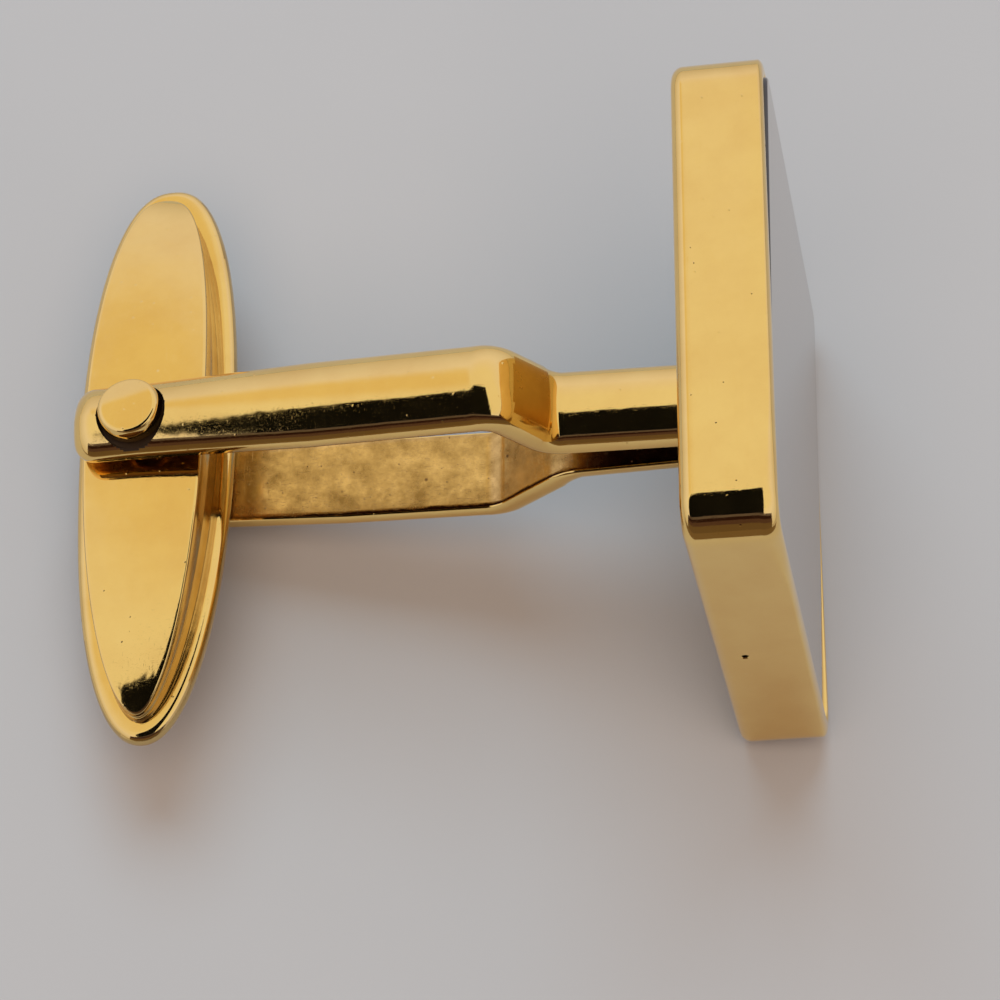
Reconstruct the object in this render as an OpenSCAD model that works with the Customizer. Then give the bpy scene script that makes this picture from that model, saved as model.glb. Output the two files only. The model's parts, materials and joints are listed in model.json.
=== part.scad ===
// Cufflink: a square stone-faced plaque, a post of two jogged arms, and a boat-shaped toggle on a rivet pin.
// Every piece is drawn about the toggle's pivot, with the post along X and the pin along Z,
// and the whole is then laid down as it rests on a table, on the pin's head and the plaque's back edge.

/* [Plaque] */
// Side of the square plaque
plaque_w = 15; // [12:0.5:20]
// Depth of the metal case, from its back to its lip
plaque_t = 2.6; // [2.4:0.1:4]
// Radius of the case's four upright corners
plaque_corner_r = 1.1; // [0.8:0.1:2]
// Radius of the soft edge round the back
back_edge_r = 0.35; // [0.2:0.05:0.5]
// Thickness of the case's side walls
case_wall = 0.5; // [0.4:0.05:0.7]
// Thickness of the case's back
case_floor = 0.6; // [0.5:0.05:0.8]
// Depth of the vented hollow behind the seat plate
hollow_t = 0.45; // [0.4:0.05:0.6]
// Width of the ledge that the seat plate is soldered on
ledge_w = 0.4; // [0.3:0.05:1]
// Thickness of the seat plate under the stone
seat_t = 0.25; // [0.15:0.05:0.4]
// Thickness of the cement under the stone
cement_t = 0.1; // [0.05:0.05:0.2]
// How far the stone's face stands out of the lip
stone_proud = 0.06; // [0:0.02:0.3]
// Width of the bevel round the stone's face
stone_bevel = 0.05; // [0.03:0.01:0.15]
// Diameter of the vent hole in the case's side wall
vent_d = 0.2; // [0.1:0.05:0.3]
// How far the vent hole lies below the middle of that wall
vent_off = 0.65; // [0:0.05:3]

/* [Post] */
// Distance from the pivot to the back of the plaque
post_reach = 16.4; // [15:0.1:22]
// Width of each arm
arm_w = 2.66; // [2.4:0.02:3]
// Thickness of each arm at its crown
arm_t = 1; // [0.9:0.05:1.3]
// Height of an arm's flat side
arm_side = 0.27; // [0.1:0.01:0.5]
// Width of each arm at the pin
eye_w = 2.36; // [2.1:0.02:3]
// Distance from the pivot to where an arm reaches its full width
eye_run = 5.2; // [3:0.1:8]
// How far each arm runs past the pin
arm_end = 1.85; // [1.3:0.05:1.9]
// Radius of the rounding at an arm's end
arm_end_r = 0.625; // [0.5:0.025:0.7]
// Width of each arm in the neck
neck_w = 2.54; // [2:0.02:3]
// Thickness of each arm in the neck
neck_t = 0.91; // [0.8:0.01:1.3]
// Height of an arm's flat side in the neck
neck_side = 0.07; // [0.04:0.01:0.5]
// Gap between the arms at the pin
gap_pin = 4.1; // [3.5:0.1:5]
// Gap between the arms where they start to turn inward
gap_bend = 4.7; // [4:0.1:5.6]
// Gap between the arms where the neck starts
gap_neck = 1.18; // [0.9:0.02:1.6]
// Gap between the arms at the back of the plaque
gap_foot = 0.86; // [0.3:0.02:1.2]
// Distance from the pivot to where the near arm turns inward
near_jog_start = 10.35; // [10:0.05:11]
// Length of the near arm's inward slope along the post
near_jog_run = 1.3; // [1.2:0.05:2]
// Radius of the near arm's first bend, at its flat inner face
near_bend_r = 0.6; // [0.3:0.05:0.8]
// Radius of the near arm's second bend, at its crown
near_saddle_r = 0.35; // [0.2:0.05:0.6]
// Distance from the pivot to where the far arm turns inward
far_jog_start = 9.8; // [9.6:0.05:10.6]
// Length of the far arm's inward slope along the post
far_jog_run = 2.2; // [1.8:0.05:2.6]
// Radius of the far arm's first bend, at its flat inner face
far_bend_r = 1; // [0.5:0.05:1.2]
// Radius of the far arm's second bend, at its crown
far_saddle_r = 0.8; // [0.3:0.05:1]
// Width of the tenon that each arm puts through the plaque's back
tenon_w = 1.5; // [1:0.1:2]
// Thickness of that tenon
tenon_t = 0.6; // [0.4:0.05:0.8]
// How far each tenon stands out behind the plaque's back wall
tenon_end = 0.15; // [0.1:0.05:0.3]
// Width of the solder round the tenons inside the hollow
solder_w = 0.5; // [0.2:0.1:1]

/* [Pin] */
// Diameter of the rivet pin
pin_d = 1.2; // [1:0.05:1.3]
// Diameter of the pin's two heads
head_d = 1.9; // [1.6:0.05:2]
// Depth of the round seat that a head lies in, below the arm's crown
head_seat = 0.45; // [0.3:0.05:0.6]
// Height of a head's rim above the arm's crown
head_rim = 0.1; // [0:0.05:0.2]
// Rise of a head's dome above its rim
head_dome = 0.15; // [0.1:0.05:0.3]
// Room round a head in its seat
head_room = 0.2; // [0.1:0.05:0.3]
// Size across the flats of the pin's squared middle
square_w = 0.9; // [0.8:0.05:0.95]
// Radial play of the pin in the arms, which its heads lock
pin_fit = 0.01; // [0.01:0.01:0.03]
// Radial play of the toggle on the pin
pivot_play = 0.04; // [0.02:0.01:0.08]

/* [Toggle] */
// Length of the toggle
toggle_l = 18.5; // [15:0.1:19]
// Width of the toggle
toggle_w = 4.65; // [4.4:0.05:6]
// Thickness of the toggle over both cheeks
toggle_t = 3.32; // [3:0.02:3.4]
// Angle by which the toggle stands off square, within its springs' play
toggle_turn = -0.2; // [-3:0.1:3]
// Thickness of the core plate, whose rim stands out all round the cheeks
core_t = 0.6; // [0.4:0.05:1]
// Radius of the rim's two edges
core_edge_r = 0.15; // [0.05:0.01:0.18]
// Width of the step from the rim to a cheek's top edge, along the toggle's sides
step_w = 0.55; // [0.5:0.05:0.8]
// Width of that step at the toggle's tips
step_tip = 0.65; // [0.5:0.05:0.8]
// Thickness of a cheek at the toggle's tips
cheek_tip_t = 0.44; // [0.3:0.02:0.6]
// Rise of a cheek's middle above its long edges
cheek_crown = 0.1; // [0.02:0.02:0.2]
// How far a cheek's foot stands out from its top edge
cheek_draft = 0.1; // [0.08:0.02:0.3]
// Width of the fine step halfway up a cheek's side
cheek_step = 0.04; // [0.02:0.01:0.06]
// Length of the chamber in the core and the cheeks that holds the springs
chamber_l = 9; // [8:0.5:10]
// Width of that chamber
chamber_w = 2; // [1.8:0.1:2.2]
// Depth of the chamber in each cheek
chamber_t = 0.5; // [0.3:0.05:0.6]
// Thickness of each leaf spring
leaf_t = 0.12; // [0.08:0.02:0.16]
// Play of each leaf spring along the pin
leaf_play = 0.05; // [0.03:0.01:0.1]
// Gap between a leaf spring and the corners of the pin's square
leaf_gap = 0.03; // [0.02:0.01:0.05]

/* [Hidden] */
$fn = 72;

gold = [0.86, 0.69, 0.36];
stone = [0.03, 0.03, 0.035];
cement = [0.35, 0.33, 0.3];
steel = [0.62, 0.63, 0.65];

// One overrun serves every cut, and one seam keeps fitted flat pieces just apart
cut = 0.25;
seam = 0.01;

// Plaque, from its back to its face
seat_z = case_floor + hollow_t;
cement_z = seat_z + seat_t;
stone_z = cement_z + cement_t;
stone_top = plaque_t + stone_proud;
pocket_w = plaque_w - 2 * case_wall;
pocket_r = plaque_corner_r - case_wall;

// Arms: the exponents of the curves that round the back of the bar and of the neck
bar_round = 1.85;
neck_round = 2.5;
// A section is its half width, its thickness, the height of its flat side and its exponent
bar = [arm_w / 2, arm_t, arm_side, bar_round];
neck = [neck_w / 2, neck_t, neck_side, neck_round];
crown_z = gap_pin / 2 + arm_t;
tenon_z = gap_foot / 2 + seam;
arm_steps = 16;
bend_steps = 7;
end_steps = 5;

// Pin and its heads
square_h = core_t + 2 * chamber_t;
head_z = crown_z - head_seat;
rim_z = crown_z + head_rim;
dome_r = (pow(head_d / 2, 2) + pow(head_dome, 2)) / (2 * head_dome);
dome_z = rim_z + head_dome - dome_r;

// Toggle
core_a = toggle_l / 2;
core_b = toggle_w / 2;
cheek_a = core_a - step_tip;
cheek_b = core_b - step_w;
cheek_t = (toggle_t - core_t) / 2;
// Exponents of the ovals that outline the core and a cheek: 2 is an ellipse, and more is fuller
core_round = 2.15;
cheek_round = 1.9;
oval_steps = 56;
edge_steps = 4;
// Shares of a cheek's height at the fine step's two edges
step_low_share = 0.48;
step_high_share = 0.54;
// Shares of a cheek's outline at which its crown is drawn, from its edge to its middle
crown_shares = [1, 0.9, 0.72, 0.48, 0.24];

// Springs: each is bowed from the chamber's wall to the pin's square
leaf_x = pin_d / 2 + leaf_gap;
leaf_h = square_h - 2 * leaf_play;
leaf_bow = chamber_w / 2 - leaf_x - leaf_t;
leaf_r = (pow(chamber_l / 2, 2) + pow(leaf_bow, 2)) / (2 * leaf_bow);
leaf_steps = 720;

// Rest: a plane under the pin's head and the plaque's rounded back edge
edge_from_dome = [post_reach + back_edge_r, dome_z + back_edge_r - plaque_w / 2];
rest_tilt = atan2(-edge_from_dome.y, edge_from_dome.x)
    + asin((back_edge_r - dome_r) / norm(edge_from_dome));
rest_lift = dome_r + dome_z * cos(rest_tilt);
reach_left = max(
    core_b * cos(rest_tilt),
    arm_end * cos(rest_tilt) + (crown_z - arm_end_r) * sin(rest_tilt)
);
reach_right = (post_reach + plaque_t) * cos(rest_tilt) + plaque_w / 2 * sin(rest_tilt);

// Lays a piece down as the cufflink rests
module at_rest() {
    translate([(reach_left - reach_right) / 2, 0, rest_lift])
        rotate([0, -rest_tilt, 0])
            children();
}

// Lays down a piece of the toggle, turned on its pin
module on_pin() {
    at_rest()
        rotate([0, 0, toggle_turn])
            children();
}

// Stands a piece of the plaque on the end of the post, its local Z along the post
module on_post() {
    translate([post_reach, 0, 0])
        rotate([0, 90, 0])
            children();
}

module rounded_square(w, r) {
    square([w, w - 2 * r], center = true);
    square([w - 2 * r, w], center = true);
    for (x = [-1, 1], y = [-1, 1])
        translate([x * (w / 2 - r), y * (w / 2 - r)])
            circle(r);
}

module slab(w, r, t) {
    linear_extrude(t)
        rounded_square(w, r);
}

// A closed solid through rings of equal count, from the lowest to the highest
module ringed(rings) {
    n = len(rings[0]);
    last = len(rings) - 1;
    polyhedron(
        points = [for (ring = rings) each ring],
        faces = concat(
            [[for (i = [0:n - 1]) i]],
            [
                for (k = [0:last - 1], i = [0:n - 1])
                    let (j = (i + 1) % n)
                    each [
                        [k * n + i, (k + 1) * n + i, (k + 1) * n + j],
                        [k * n + i, (k + 1) * n + j, k * n + j]
                    ]
            ],
            [[for (i = [n - 1:-1:0]) last * n + i]]
        )
    );
}

// The outside of the case: straight walls over a soft back edge
module case_block() {
    e = back_edge_r;
    inset = plaque_w / 2 - plaque_corner_r;
    translate([0, 0, e])
        slab(plaque_w, plaque_corner_r, plaque_t - e);
    slab(plaque_w - 2 * e, plaque_corner_r - e, 2 * e);
    for (turn = [0:90:270])
        rotate([0, 0, turn]) {
            translate([plaque_w / 2 - e, 0, e])
                rotate([90, 0, 0])
                    cylinder(h = 2 * inset, r = e, center = true);
            translate([inset, inset, e])
                rotate_extrude(angle = 90)
                    translate([plaque_corner_r - e, 0])
                        intersection() {
                            circle(e);
                            translate([0, -e])
                                square([e, 2 * e]);
                        }
        }
}

module tenon_pair(play, from, to) {
    for (side = [-1, 1])
        translate([post_reach + from, -tenon_w / 2 - play, side * (tenon_z + tenon_t / 2) - tenon_t / 2 - play])
            cube([to - from, tenon_w + 2 * play, tenon_t + 2 * play]);
}

module bezel_case() {
    color(gold)
        at_rest()
            difference() {
                on_post()
                    difference() {
                        case_block();
                        translate([0, 0, case_floor])
                            slab(pocket_w - 2 * ledge_w, pocket_r, plaque_t);
                        translate([0, 0, seat_z])
                            slab(pocket_w, pocket_r, plaque_t);
                        translate([vent_off, -plaque_w / 2 - cut, case_floor + hollow_t / 2])
                            rotate([-90, 0, 0])
                                cylinder(h = case_wall + ledge_w + 2 * cut, d = vent_d);
                    }
                tenon_pair(seam, -cut, case_floor + cut);
            }
}

module seat_plate() {
    color(gold)
        at_rest()
            on_post()
                translate([0, 0, seat_z])
                    slab(pocket_w - 2 * seam, pocket_r, seat_t);
}

module cement_bed() {
    color(cement)
        at_rest()
            on_post()
                translate([0, 0, cement_z])
                    slab(pocket_w - 2 * seam, pocket_r, cement_t);
}

module onyx_inlay() {
    color(stone)
        at_rest()
            on_post()
                difference() {
                    translate([0, 0, stone_z])
                        slab(pocket_w - 2 * seam, pocket_r, stone_top - stone_z);
                    for (turn = [0:90:270])
                        rotate([0, 0, turn])
                            translate([pocket_w / 2 - seam, 0, stone_top - stone_bevel])
                                rotate([0, -45, 0])
                                    translate([0, -plaque_w / 2, 0])
                                        cube([plaque_w, plaque_w, plaque_w]);
                }
}

// A sine or cosine drawn outward or inward, as on an oval of exponent n
function bulge(c, n) = sign(c) * pow(abs(c), 2 / n);

// The outline of an arm's section, across the post and out from its flat face
function arm_section(shape) =
    let (half = shape[0], t = shape[1], side = shape[2], n = shape[3])
    concat(
        [[-half, 0], [half, 0]],
        [
            for (i = [0:arm_steps])
                let (a = 180 * i / arm_steps)
                [half * bulge(cos(a), n), side + (t - side) * bulge(sin(a), n)]
        ]
    );

// A ring of the arm: its section at a point of the inner line, square to a direction
function arm_ring(at, angle, shape) = [
    for (p = arm_section(shape))
        [at.x - p.y * sin(angle), p.x, at.y + p.y * cos(angle)]
];

// The bar's section at x: narrower at the eye
function bar_at(x) =
    let (half = eye_w / 2 + (arm_w - eye_w) / 2 * min(1, max(0, x / eye_run)))
    [half, arm_t, arm_side, bar_round];

// Past the pin the arm rounds over in width and thickness together
function end_section(x, shrink) = bar_at(x) - [shrink, shrink, 0, 0];

// A direction between two others, at share s of the turn
function turn_at(from, to, s) = from + (to - from) * s;

function across(angle) = [-sin(angle), cos(angle)];

// An arm whose inner face turns inward at a distance from the pivot, over a run, with its two bends' radii
module arm(start, run, bend_r, saddle_r) {
    corner_1 = [start, gap_bend / 2];
    corner_2 = [start + run, gap_neck / 2];
    foot = [post_reach, gap_foot / 2];
    spread = atan2(corner_1.y - gap_pin / 2, start);
    slope = atan2(corner_2.y - corner_1.y, run);
    lean = atan2(foot.y - corner_2.y, foot.x - corner_2.x);
    outer_r = neck_t + saddle_r;
    tangent_1 = bend_r * tan((spread - slope) / 2);
    tangent_2 = outer_r * tan((lean - slope) / 2);
    centre_1 = corner_1 - tangent_1 * [cos(spread), sin(spread)] - bend_r * across(spread);
    centre_2 = corner_2 - tangent_2 * [cos(slope), sin(slope)] + outer_r * across(slope);
    rings = concat(
        [
            for (k = [0:end_steps - 1])
                let (
                    t = 90 - 90 * k / end_steps,
                    x = arm_end_r * (1 - sin(t)) - arm_end,
                    shrink = arm_end_r * (1 - cos(t))
                )
                arm_ring([x, gap_pin / 2 + x * tan(spread)], spread, end_section(x, shrink))
        ],
        [
            for (x = [arm_end_r - arm_end, 0, eye_run])
                arm_ring([x, gap_pin / 2 + x * tan(spread)], spread, bar_at(x))
        ],
        [
            for (k = [0:bend_steps])
                let (a = turn_at(spread, slope, k / bend_steps))
                arm_ring(centre_1 + bend_r * across(a), a, bar)
        ],
        [
            for (k = [0:bend_steps])
                let (a = turn_at(slope, lean, k / bend_steps))
                arm_ring(centre_2 - outer_r * across(a), a, neck)
        ],
        [arm_ring(foot, 0, neck)]
    );
    difference() {
        ringed(rings);
        cylinder(h = 2 * crown_z, d = pin_d + 2 * pin_fit);
        translate([0, 0, head_z])
            cylinder(h = crown_z, d = head_d + 2 * head_room);
    }
    intersection() {
        tenon_pair(0, -cut, case_floor + tenon_end);
        translate([post_reach - cut, -arm_w / 2, 0])
            cube([plaque_t, arm_w, crown_z]);
    }
}

module near_arm() {
    color(gold)
        at_rest()
            arm(near_jog_start, near_jog_run, near_bend_r, near_saddle_r);
}

module far_arm() {
    color(gold)
        at_rest()
            mirror([0, 0, 1])
                arm(far_jog_start, far_jog_run, far_bend_r, far_saddle_r);
}

// The solder that locks the tenons behind the plaque's back wall
module post_solder() {
    height = 2 * (tenon_z + tenon_t + solder_w);
    color(steel)
        at_rest()
            difference() {
                translate([post_reach + case_floor, -tenon_w / 2 - solder_w, -height / 2])
                    cube([tenon_end, tenon_w + 2 * solder_w, height]);
                tenon_pair(seam, case_floor - cut, case_floor + tenon_end + cut);
            }
}

module pin_head() {
    intersection() {
        translate([0, 0, head_z])
            cylinder(h = head_seat + head_rim + head_dome, d = head_d);
        translate([0, 0, dome_z])
            sphere(dome_r);
    }
}

module pivot_pin() {
    color(gold)
        at_rest() {
            difference() {
                cylinder(h = 2 * rim_z, d = pin_d, center = true);
                for (turn = [0:90:270])
                    rotate([0, 0, turn])
                        translate([square_w / 2, -pin_d / 2, -square_h / 2])
                            cube([pin_d, pin_d, square_h]);
            }
            pin_head();
            mirror([0, 0, 1])
                pin_head();
        }
}

// An oval's outline, half as long as a and half as wide as b
function oval(a, b, n) = [
    for (i = [0:oval_steps - 1])
        let (t = 360 * i / oval_steps)
        [b * bulge(cos(t), n), a * bulge(sin(t), n)]
];

// A ring of the core's rim, at turn t of the upper or the lower edge's rounding
function rim_ring(side, t) =
    let (inset = core_edge_r * (1 - cos(t)), z = side * (core_t / 2 - core_edge_r) + core_edge_r * sin(t))
    [for (p = oval(core_a - inset, core_b - inset, core_round)) [p.x, p.y, z]];

module toggle_core() {
    color(gold)
        on_pin()
            difference() {
                ringed(concat(
                    [for (k = [0:edge_steps]) rim_ring(-1, 90 * k / edge_steps - 90)],
                    [for (k = [0:edge_steps]) rim_ring(1, 90 * k / edge_steps)]
                ));
                cube([chamber_w, chamber_l, core_t + 2 * cut], center = true);
            }
}

// Height of a cheek over the core at a point of its face
function cheek_height(p) =
    cheek_t - cheek_crown * pow(p.x / cheek_b, 2)
    - (cheek_t - cheek_tip_t) * pow(p.y / cheek_a, 2);

// A ring of the cheek: a share of its outline, grown sideways, at a share of its height
function cheek_ring(share, grow, rise) = [
    for (p = oval(share * cheek_a + grow, share * cheek_b + grow, cheek_round))
        [p.x, p.y, core_t / 2 + rise * cheek_height(p)]
];

// A cheek: a leaning side with a fine step, a crowned face, and half the spring chamber
module cheek() {
    difference() {
        ringed(concat(
            [
                cheek_ring(1, cheek_draft, 0),
                cheek_ring(1, cheek_step, step_low_share),
                cheek_ring(1, 0, step_high_share)
            ],
            [for (share = crown_shares) cheek_ring(share, 0, 1)]
        ));
        cylinder(h = toggle_t, d = pin_d + 2 * pivot_play);
        cube([chamber_w, chamber_l, square_h], center = true);
    }
}

module near_cheek() {
    color(gold)
        on_pin()
            cheek();
}

module far_cheek() {
    color(gold)
        on_pin()
            mirror([0, 0, 1])
                cheek();
}

// A bowed strip: its ends bear on the chamber's wall and its middle on the pin's square
module detent_leaf() {
    intersection() {
        translate([leaf_x + leaf_r, 0, 0])
            difference() {
                cylinder(h = leaf_h, r = leaf_r, center = true, $fn = leaf_steps);
                cylinder(h = leaf_h + cut, r = leaf_r - leaf_t, center = true, $fn = leaf_steps);
            }
        translate([0, -chamber_l / 2 + seam, -leaf_h / 2])
            cube([chamber_w / 2 - seam, chamber_l - 2 * seam, leaf_h]);
    }
}

module left_detent_leaf() {
    color(steel)
        on_pin()
            mirror([1, 0, 0])
                detent_leaf();
}

module right_detent_leaf() {
    color(steel)
        on_pin()
            detent_leaf();
}

bezel_case();
seat_plate();
cement_bed();
onyx_inlay();
near_arm();
far_arm();
post_solder();
pivot_pin();
toggle_core();
near_cheek();
far_cheek();
left_detent_leaf();
right_detent_leaf();
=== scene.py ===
"""A gold cufflink with a square black stone, lying on a pale table."""

import json
import math

import bmesh
import bpy
import numpy as np
from mathutils import Matrix, Vector


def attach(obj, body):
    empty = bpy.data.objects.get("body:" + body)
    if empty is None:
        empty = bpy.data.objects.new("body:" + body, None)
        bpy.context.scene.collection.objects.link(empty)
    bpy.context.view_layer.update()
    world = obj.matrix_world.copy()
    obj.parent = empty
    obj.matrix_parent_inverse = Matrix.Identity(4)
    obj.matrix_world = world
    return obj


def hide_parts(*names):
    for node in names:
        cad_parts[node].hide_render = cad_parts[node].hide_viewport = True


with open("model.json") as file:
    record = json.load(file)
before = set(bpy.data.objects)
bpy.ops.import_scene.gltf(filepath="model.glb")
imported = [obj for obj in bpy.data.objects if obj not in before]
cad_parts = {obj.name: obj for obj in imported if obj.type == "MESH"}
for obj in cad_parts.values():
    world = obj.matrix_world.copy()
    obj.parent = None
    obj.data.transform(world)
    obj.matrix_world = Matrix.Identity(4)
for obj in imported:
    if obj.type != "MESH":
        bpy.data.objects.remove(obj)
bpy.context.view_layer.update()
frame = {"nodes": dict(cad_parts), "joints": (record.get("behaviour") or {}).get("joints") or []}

MM = 0.001

# The post's frame: origin on the pin, X along the post to the plaque, Z along the pin
pivot = frame["joints"][0]
pin_axis = Vector(pivot["axis"]).normalized()
post_axis = Vector((0, 1, 0)).cross(pin_axis).normalized()
POST = Matrix.Translation(pivot["pos_m"]) @ Matrix(
    (post_axis, (0, 1, 0), pin_axis)
).transposed().to_4x4() @ Matrix.Scale(MM, 4)
TOGGLE_TURN = -0.2  # degrees by which the toggle stands off square
TOGGLE = POST @ Matrix.Rotation(math.radians(TOGGLE_TURN), 4, "Z")


def extent(node, matrix):
    """Lowest and highest corner of a CAD node in a local frame, in millimetres."""
    back = matrix.inverted()
    points = np.array([back @ v.co for v in frame["nodes"][node].data.vertices])
    return points.min(0), points.max(0)


# Sizes in millimetres, taken from the frame where a node's box shows them
case_low, case_high = extent("bezel_case", POST)
stone_low, stone_high = extent("onyx_inlay", POST)
arm_low, arm_high = extent("near_arm", POST)
pin_low, pin_high = extent("pivot_pin", POST)
core_low, core_high = extent("toggle_core", TOGGLE)
cheek_high = extent("near_cheek", TOGGLE)[1]

PLAQUE_HALF = case_high[1]
BACK_X = case_low[0]
LIP_X = case_high[0]
CORNER_R = 1.1
BACK_EDGE_R = 0.35
LIP_EDGE_R = 0.1  # rounding of the lip's inner edge
LIP_IN = 0.36  # how far the rounding of the lip's outer edge reaches in over the lip
LIP_DOWN = 0.13  # how far it reaches down the plaque's sides
LIP_CORNER_DOWN = 0.16  # how far it reaches down at the corners
WORN_CORNER = 1  # the corner that is worn down more: 0 is the one at +Y and +Z, and 1 the one at -Y and +Z
WORN_DOWN = 0.52  # how far the rounding reaches down there
CASE_WALL = 0.5
SEAM = 0.01  # the least gap, step or radius
STONE_BEVEL = 0.08
BEVEL_BELLY = 0.3  # place of the chamfer's middle, as a share of its width: under 0.5 it bulges out
STONE_SINK = 0.06  # how far the stone's face lies below its drawn place
STONE_LEAN = 0.014  # rise of the stone's face for each millimetre along Y
VENT_D = 0.2
VENT_X = 0.825  # from the plaque's back to the vent hole
VENT_Z = -0.65
VENT_LEAD = 0.03  # chamfer round the hole's mouth
VENT_DEPTH = 4 * VENT_D

ARM_W = arm_high[1] - arm_low[1]
ARM_T = 1.0
ARM_SIDE = 0.27  # height at which the arm's rounded back starts, from its inner face
ARM_EDGE = 0.1  # width of the rounding along the inner face's edges
EDGE_SHARE = 0.9  # its height, as a share of the height at which the back starts
EYE_W = 2.36  # the arm's width at the pin
EYE_RUN = 5.2  # from the pin to where the arm has its full width
ARM_END = -arm_low[0]
ARM_END_R = 0.625
NECK_W = 2.54
NECK_T = 0.91
NECK_SIDE = 0.07
# Gaps between the arms' inner faces: at the pin, at the first bend, at the second one and at the plaque
GAP_PIN, GAP_BEND, GAP_NECK, GAP_FOOT = 4.1, 4.7, 1.18, 0.86
# Each arm's inward slope: its start, its run along the post and the radii of its two bends
NEAR_JOG = (10.35, 1.3, 0.6, 0.35)
FAR_JOG = (9.8, 2.2, 1.0, 0.8)
# Exponents of the curve that rounds an arm's back: at the pin, at the first bend, on the slope, in the neck
ROUND_PIN, ROUND_BEND, ROUND_SLOPE, ROUND_NECK = 1.7, 2.0, 3.0, 2.5
FILED_START = 0.85  # from an arm's first bend to the filed flat on its slope
FILED_RUN = 0.35  # how far that flat runs on into the neck
FOOT_DEPTH = 0.3  # how far an arm runs into the plaque's back

PIN_D = 1.2
PIN_SQUARE = 0.9  # width and height of the pin's squared middle
SQUARE_H = 1.6
HEAD_D = pin_high[1] - pin_low[1]
HEAD_SEAT = 0.45  # depth of the heads' seats in the arms
RIM_LIFT = 0.1  # how far the heads' rims stand over the arms
RIM_Z = GAP_PIN / 2 + ARM_T + RIM_LIFT
HEAD_EDGE = 0.08
HEAD_SHIFT = (-0.07, 0.06)  # how far the peened heads lie off the pin's axis
SEAT_SHIFT = (-0.02, -0.06)  # how far their seats lie off it
SEAT_R = 1.04
SEAT_Z = GAP_PIN / 2 + ARM_T - HEAD_SEAT
SEAT_FILLET = 0.08
PIN_FIT = 0.01
# Each head's dome before it is filed, as a multiple of the drawn head's height over its rim
NEAR_CROWN, FAR_CROWN = 3.2, 1.4
FLAT_SHARE = 0.78  # height of a head's first filed flat in the middle, as a share of the drawn head's
FLAT_RISE = 0.03  # how much that flat rises for each millimetre along Y
SECOND_FALL = 0.22  # how much the second flat falls from the first, for each millimetre past their ridge
RIDGE_Y, RIDGE_SLANT = 0.2, 0.25  # where the ridge crosses the middle, and how it slants
RIDGE_SHARP = 60  # how crisp the flats' edges are: the higher, the crisper

CORE_A = core_high[1]
CORE_B = core_high[0]
CORE_T = core_high[2] - core_low[2]
CHEEK_TOP = cheek_high[2]
CORE_EDGE_R = 0.28
CORE_ROUND, CHEEK_ROUND = 2.15, 1.9  # exponents of the core's and the cheeks' outlines
STEP_W, STEP_TIP = 0.55, 0.65  # how far a cheek stays inside the core at its sides and at its ends
CHEEK_TIP_T = 0.54  # a cheek's thickness at its ends, before they fall away
CHEEK_CROWN = 0.025
CHEEK_DRAFT = 0.1  # how far a cheek's foot stands out past its face, all round
CHEEK_STEP = 0.04  # how far the end of its side's lower hollow does
CHEEK_EDGE = 0.06
HOLLOW = 0.022  # depth of each of the side's two hollows
HOLLOW_END, HOLLOW_START = 0.48, 0.54  # end of the lower hollow and start of the upper, as shares of the side
CORE_FULL = 0.25  # how much fuller the toggle's +Y half is, as an addition to its outline's exponent
CHEEK_FULL = 0.4  # the same for a cheek's face
# How much wider the side away from the plaque is, as a share: in the middle, and what its +Y half has more
LEFT_GROW, LEFT_RISE = 0.04, 0.025
LEFT_RUN = 2  # how quickly that changes along Y
TIP_START = 7.85  # where a cheek's ends begin to fall away faster
TIP_BEND = 0.28
TIP_SKEW = 0.3  # how much sooner that is for each millimetre towards the plaque
CHAMBER_L, CHAMBER_W, CHAMBER_T = 9, 2, 0.5  # the hollow that holds the springs
PIVOT_PLAY = 0.04


# Mesh building

SHARP_ANGLE = math.radians(32)
FILLET_STEPS = 5


def new_object(name, points, faces):
    """An object in the scene from points and faces in world coordinates."""
    mesh = bpy.data.meshes.new(name)
    mesh.from_pydata([tuple(p) for p in points], [], faces)
    obj = bpy.data.objects.new(name, mesh)
    bpy.context.scene.collection.objects.link(obj)
    return obj


def solid(name, points, faces, matrix):
    """A closed solid from points in a local frame, in place and with its normals facing out."""
    obj = new_object(name, points, faces)
    mesh = obj.data
    mesh.transform(matrix)
    mesh.validate()
    bm = bmesh.new()
    bm.from_mesh(mesh)
    bmesh.ops.recalc_face_normals(bm, faces=bm.faces)
    bm.to_mesh(mesh)
    bm.free()
    return obj


def piece_from(name, points, faces, body, replaced, slot, matrix=POST):
    """A smooth-shaded piece from points in a local frame, in place and riding on its body."""
    obj = solid(name, points, faces, matrix)
    obj.data.shade_smooth()
    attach(obj, body)
    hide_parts(*replaced)
    return obj


def ring_faces(count, size, closed=False):
    """Quads between consecutive rings of equal size, and from the last to the first if closed."""
    faces = []
    for k in range(count if closed else count - 1):
        m = (k + 1) % count
        for i in range(size):
            j = (i + 1) % size
            faces.append((k * size + i, k * size + j, m * size + j, m * size + i))
    return faces


def lofted(rings, closed=False):
    """Points and faces of a solid through rings: a ring torus if closed, otherwise capped at both ends."""
    count, size = len(rings), len(rings[0])
    faces = ring_faces(count, size, closed)
    points = [p for ring in rings for p in ring]
    if not closed:
        for ring, first in ((rings[0], 0), (rings[-1], (count - 1) * size)):
            centre = len(points)
            points.append(np.mean(ring, axis=0))
            faces += [(first + i, first + (i + 1) % size, centre) for i in range(size)]
    return points, faces


def arc(start, end, steps):
    """Angles in radians from start to end, both in degrees and both included."""
    return np.radians(np.linspace(start, end, steps + 1))


def full_turn(steps):
    """Angles in radians of equal steps round a whole turn."""
    return np.linspace(0, 2 * math.pi, steps + 1)[:-1]


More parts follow.
